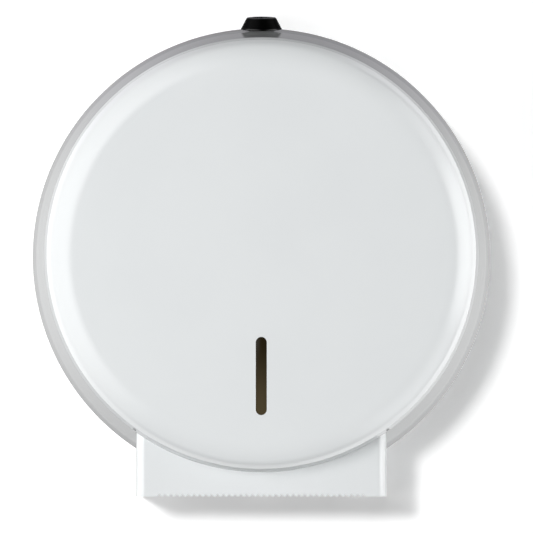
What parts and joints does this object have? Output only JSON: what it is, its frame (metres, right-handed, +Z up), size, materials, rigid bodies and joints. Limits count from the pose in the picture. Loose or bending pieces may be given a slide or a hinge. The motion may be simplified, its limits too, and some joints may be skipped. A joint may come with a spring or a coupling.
{
  "type": "jumbo toilet roll dispenser",
  "caption": "Round wall-mounted steel dispenser for jumbo toilet rolls, with a hinged drum cover, viewing slot, keyed top lock, turning roll hub and serrated tear edge.",
  "frame": {"origin": "on the wall plane, at the drum's axis and the middle of the four wall screw holes", "axes": "+Z up, +Y into the wall, -Y out of the front along the drum's axis, +X to the right as seen from the front"},
  "size_m": [0.3598, 0.132, 0.3756],
  "materials": {
    "white_powder_coat": "satin gloss powder coat with a slight orange peel",
    "zinc_plated_steel": "zinc plated",
    "black_plastic": "polished black",
    "smoked_plastic": "smoked brown, clear gloss",
    "nylon": "natural, satin",
    "grey_plastic": "moulded, fine matte"
  },
  "bodies": {
    "wall_frame": {"back_plate": "white_powder_coat", "hinge_leaf": "zinc_plated_steel", "hinge_rivets": "zinc_plated_steel", "hinge_rod": "zinc_plated_steel", "rod_clips": "zinc_plated_steel", "spindle_post": "zinc_plated_steel", "spindle_rivets": "zinc_plated_steel", "hub_washer": "zinc_plated_steel", "hub_screw": "zinc_plated_steel", "latch_striker": "zinc_plated_steel", "striker_rivets": "zinc_plated_steel"},
    "cover": {"front_pan": "white_powder_coat", "side_band": "white_powder_coat", "chute": "white_powder_coat", "hinge_bushes": "nylon", "view_window": "smoked_plastic", "window_retainer": "zinc_plated_steel", "window_studs": "zinc_plated_steel", "window_nuts": "zinc_plated_steel", "lock_housing": "black_plastic", "lock_nut": "zinc_plated_steel"},
    "lock": {"lock_barrel": "black_plastic", "lock_cam": "zinc_plated_steel", "cam_screw": "zinc_plated_steel"},
    "hub": {"roll_hub": "grey_plastic"}
  },
  "joints": [
    {"name": "cover_hinge", "type": "hinge", "parent": "wall_frame", "child": "cover", "pos_m": [0, -0.0052, -0.1825], "axis": [1, 0, 0], "range_deg": [0, 88]},
    {"name": "lock_turn", "type": "hinge", "parent": "cover", "child": "lock", "pos_m": [0, -0.021, 0.17735], "axis": [0, 0.1253, -0.9921], "range_deg": [0, 90]},
    {"name": "hub_spin", "type": "hinge", "parent": "wall_frame", "child": "hub", "pos_m": [0, 0, 0], "axis": [0, -1, 0], "continuous": true}
  ]
}
